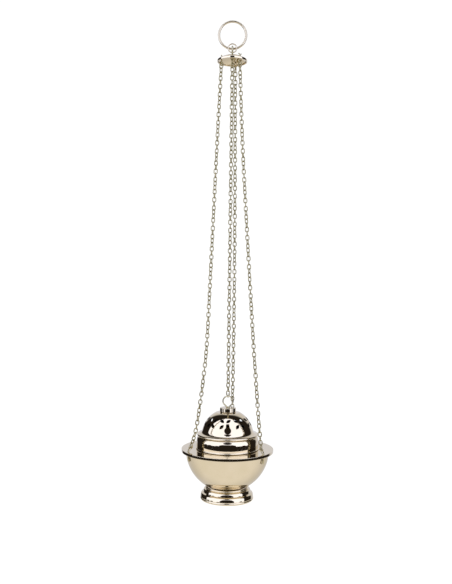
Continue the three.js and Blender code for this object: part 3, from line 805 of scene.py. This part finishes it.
# ---- studio ------------------------------------------------------------------------------------------------
CAMERA_SENSOR = 36
CAMERA_LENS = 44.1
CAMERA_DISTANCE = 0.740
CAMERA_HEIGHT = 0.221  # over the foot's base
CAMERA_SIDE = -0.0035
CAMERA_ROLL = math.radians(0.72)
CAMERA_PITCH = math.radians(0.56)  # downwards
FLOOR_DROP = 0.42  # under the foot
FLOOR_RADIUS = 1.5
TENT_RADIUS = 3.0
TENT_HEIGHT = 0.05  # of its middle, over the foot's base
PAPER_WHITE = 1.05
SHEET = Vector((1.5, 1.62, 2.1))  # the light of each part of the tent
BACKDROP = Vector((0.79, 0.81, 0.91))
TABLE = Vector((1.0, 0.995, 1.0))
FAR_TABLE = Vector((0.68, 0.67, 0.67))
DARK = Vector((0.022, 0.018, 0.016))

# The studio's parts as seen from the object, degrees. A pair is where a soft edge begins and ends.
TABLE_EDGE = -16.75
TABLE_FADE = (-0.2, 0.9)  # how far behind the object the table darkens, as a cosine
STAND_FOOT_HALF = 26  # the foot of the camera's stand, on the table
STAND_FOOT_EDGE = -19
SHEET_END = 87  # the sheets' edge above the camera, and how much further round it lies at the right and left
SHEET_END_RIGHT, SHEET_END_LEFT = -8, 9
FRAME_END = 105  # the same for the dark frame's outer edge
FRAME_END_RIGHT, FRAME_END_LEFT = 19, 43
CAMERA_HALF = 30  # half the width of the camera's dark block at its foot
CAMERA_TAPER = 12
CAMERA_TAPER_SPAN = (-2, 12)
CAMERA_TOP = (9.5, 11)
LAMP_ELEVATION = 29
LAMP_EDGE = (14, 16)
STEM_SIDE = (10, 12)
STEM_FOOT = (20, 22)
STEM_TOP = (58, 62)
STANDS = (-86, -68, -38, 62, 84)  # azimuths of the light stands
STAND_SIDE = (5, 7)
STAND_TOP = (-8, -5)
DARK_GAP_HALF = 125
DARK_GAP_TOP = (-11.6, -11.0)


def ramp(value, low, high):
    """0 below low, 1 above high and smooth between."""
    t = min(1.0, max(0.0, (value - low) / (high - low)))
    return t * t * (3 - 2 * t)


def fall(value, low, high):
    """1 below low, 0 above high and smooth between."""
    return 1 - ramp(value, low, high)


def tent_light(azimuth, elevation):
    """Light of the studio from a direction; azimuth 0 is towards the camera and positive to the right.

    Two white sheets, split by the camera and its dark stand, face the object. A dark frame runs round them, the
    back of the tent is pale, and a dark gap with light stands in it lies between the sheets and the white table.
    """
    e, a = math.radians(elevation), math.radians(azimuth)
    side, front, up = math.sin(a) * math.cos(e), math.cos(a) * math.cos(e), math.sin(e)
    if elevation < TABLE_EDGE:
        clear = abs(azimuth) > STAND_FOOT_HALF or elevation < STAND_FOOT_EDGE
        return TABLE.lerp(FAR_TABLE, ramp(-front, *TABLE_FADE)) if clear else DARK
    away = math.degrees(math.acos(max(-1.0, min(1.0, front))))
    level = abs(side) / max(1e-6, math.hypot(side, up))  # 1 beside the camera, 0 above it
    sheet = SHEET_END + level**2 * (SHEET_END_RIGHT if side > 0 else SHEET_END_LEFT)
    frame_end = FRAME_END + level**1.5 * (FRAME_END_RIGHT if side > 0 else FRAME_END_LEFT)
    light = DARK.lerp(SHEET, fall(away, sheet - 1, sheet + 1))
    light = light.lerp(BACKDROP, ramp(away, frame_end - 1, frame_end + 12))
    half = CAMERA_HALF - CAMERA_TAPER * ramp(elevation, *CAMERA_TAPER_SPAN)
    block = fall(abs(azimuth), half, half + 2) * fall(elevation, *CAMERA_TOP)
    lamp = fall(math.hypot(azimuth * math.cos(e), elevation - LAMP_ELEVATION), *LAMP_EDGE)
    stem = fall(abs(azimuth), *STEM_SIDE) * fall(elevation, *STEM_TOP) * ramp(elevation, *STEM_FOOT)
    shade = max(block, lamp, stem)
    for middle in STANDS:
        shade = max(shade, fall(abs(azimuth - middle), *STAND_SIDE) * fall(elevation, *STAND_TOP))
    if abs(azimuth) < DARK_GAP_HALF:
        shade = max(shade, fall(elevation, *DARK_GAP_TOP))
    return light.lerp(DARK, shade)


def make_tent():
    """A closed tent of light round the object, which the camera looks through."""
    rows, columns = 360, 360
    centre = Vector((0, 0, BASE_Z + TENT_HEIGHT))
    vertices, faces, light = [], [], []
    for row in range(rows + 1):
        elevation = -89.9 + 179.8 * row / rows
        for column in range(columns):
            azimuth = -180 + 360 * column / columns
            e, a = math.radians(elevation), math.radians(azimuth)
            direction = Vector((math.sin(a) * math.cos(e), -math.cos(a) * math.cos(e), math.sin(e)))
            vertices.append(centre + direction * TENT_RADIUS)
            light += [*tent_light(azimuth, elevation), 1.0]
    for row in range(rows):
        for column in range(columns):
            a, b = row * columns + column, row * columns + (column + 1) % columns
            faces.append((a, a + columns, b + columns, b))
    mesh = bpy.data.meshes.new("tent")
    mesh.from_pydata(vertices, [], faces)
    mesh.attributes.new("light", "FLOAT_COLOR", "POINT").data.foreach_set("color", light)
    material = bpy.data.materials.new("tent light")
    material.use_nodes = True
    tree = material.node_tree
    tree.nodes.clear()
    out = tree.nodes.new("ShaderNodeOutputMaterial")
    glow = tree.nodes.new("ShaderNodeEmission")
    read = tree.nodes.new("ShaderNodeAttribute")
    read.attribute_name = "light"
    tree.links.new(read.outputs["Color"], glow.inputs["Color"])
    tree.links.new(glow.outputs["Emission"], out.inputs["Surface"])
    mesh.materials.append(material)
    tent = bpy.data.objects.new("tent", mesh)
    bpy.context.scene.collection.objects.link(tent)
    tent.visible_camera = False


def make_floor():
    """A pale round table top below the hanging object."""
    mesh = bpy.data.meshes.new("floor")
    builder = bmesh.new()
    bmesh.ops.create_circle(builder, cap_ends=True, radius=FLOOR_RADIUS, segments=128)
    builder.to_mesh(mesh)
    builder.free()
    material = bpy.data.materials.new("pale floor")
    material.use_nodes = True
    shader = material.node_tree.nodes["Principled BSDF"]
    shader.inputs["Base Color"].default_value = (0.05, 0.05, 0.05, 1)
    shader.inputs["Roughness"].default_value = 0.9
    shader.inputs["Specular IOR Level"].default_value = 0.0
    shader.inputs["Emission Color"].default_value = (1.0, 0.985, 0.965, 1)
    shader.inputs["Emission Strength"].default_value = PAPER_WHITE
    mesh.materials.append(material)
    floor = bpy.data.objects.new("floor", mesh)
    floor.location = (0, 0, BASE_Z - FLOOR_DROP)
    floor.visible_glossy = False  # the tent's own lower part is what the polish mirrors
    bpy.context.scene.collection.objects.link(floor)


def make_world():
    world = bpy.data.worlds.new("white")
    world.use_nodes = True
    background = world.node_tree.nodes["Background"]
    background.inputs["Color"].default_value = (1, 1, 1, 1)
    background.inputs["Strength"].default_value = PAPER_WHITE
    bpy.context.scene.world = world
    bpy.context.scene.view_settings.view_transform = "Standard"


def make_camera():
    data = bpy.data.cameras.new("camera")
    data.sensor_width = CAMERA_SENSOR
    data.lens = CAMERA_LENS
    camera = bpy.data.objects.new("camera", data)
    camera.location = (CAMERA_SIDE, -CAMERA_DISTANCE, BASE_Z + CAMERA_HEIGHT)
    level = Quaternion((1, 0, 0), math.pi / 2 - CAMERA_PITCH)
    camera.rotation_mode = "QUATERNION"
    camera.rotation_quaternion = level @ Quaternion((0, 0, 1), CAMERA_ROLL)
    bpy.context.scene.collection.objects.link(camera)
    bpy.context.scene.camera = camera


# ---- assembly ----------------------------------------------------------------------------------------------
make_camera()
make_foot()
make_bowl()
make_rim()
make_cup()
make_drum()
make_dome()
collar_top = make_collar()
make_suspension()
make_lid_chain(collar_top)
make_hanger()
dress_cad_nodes()
make_tent()
make_floor()
make_world()
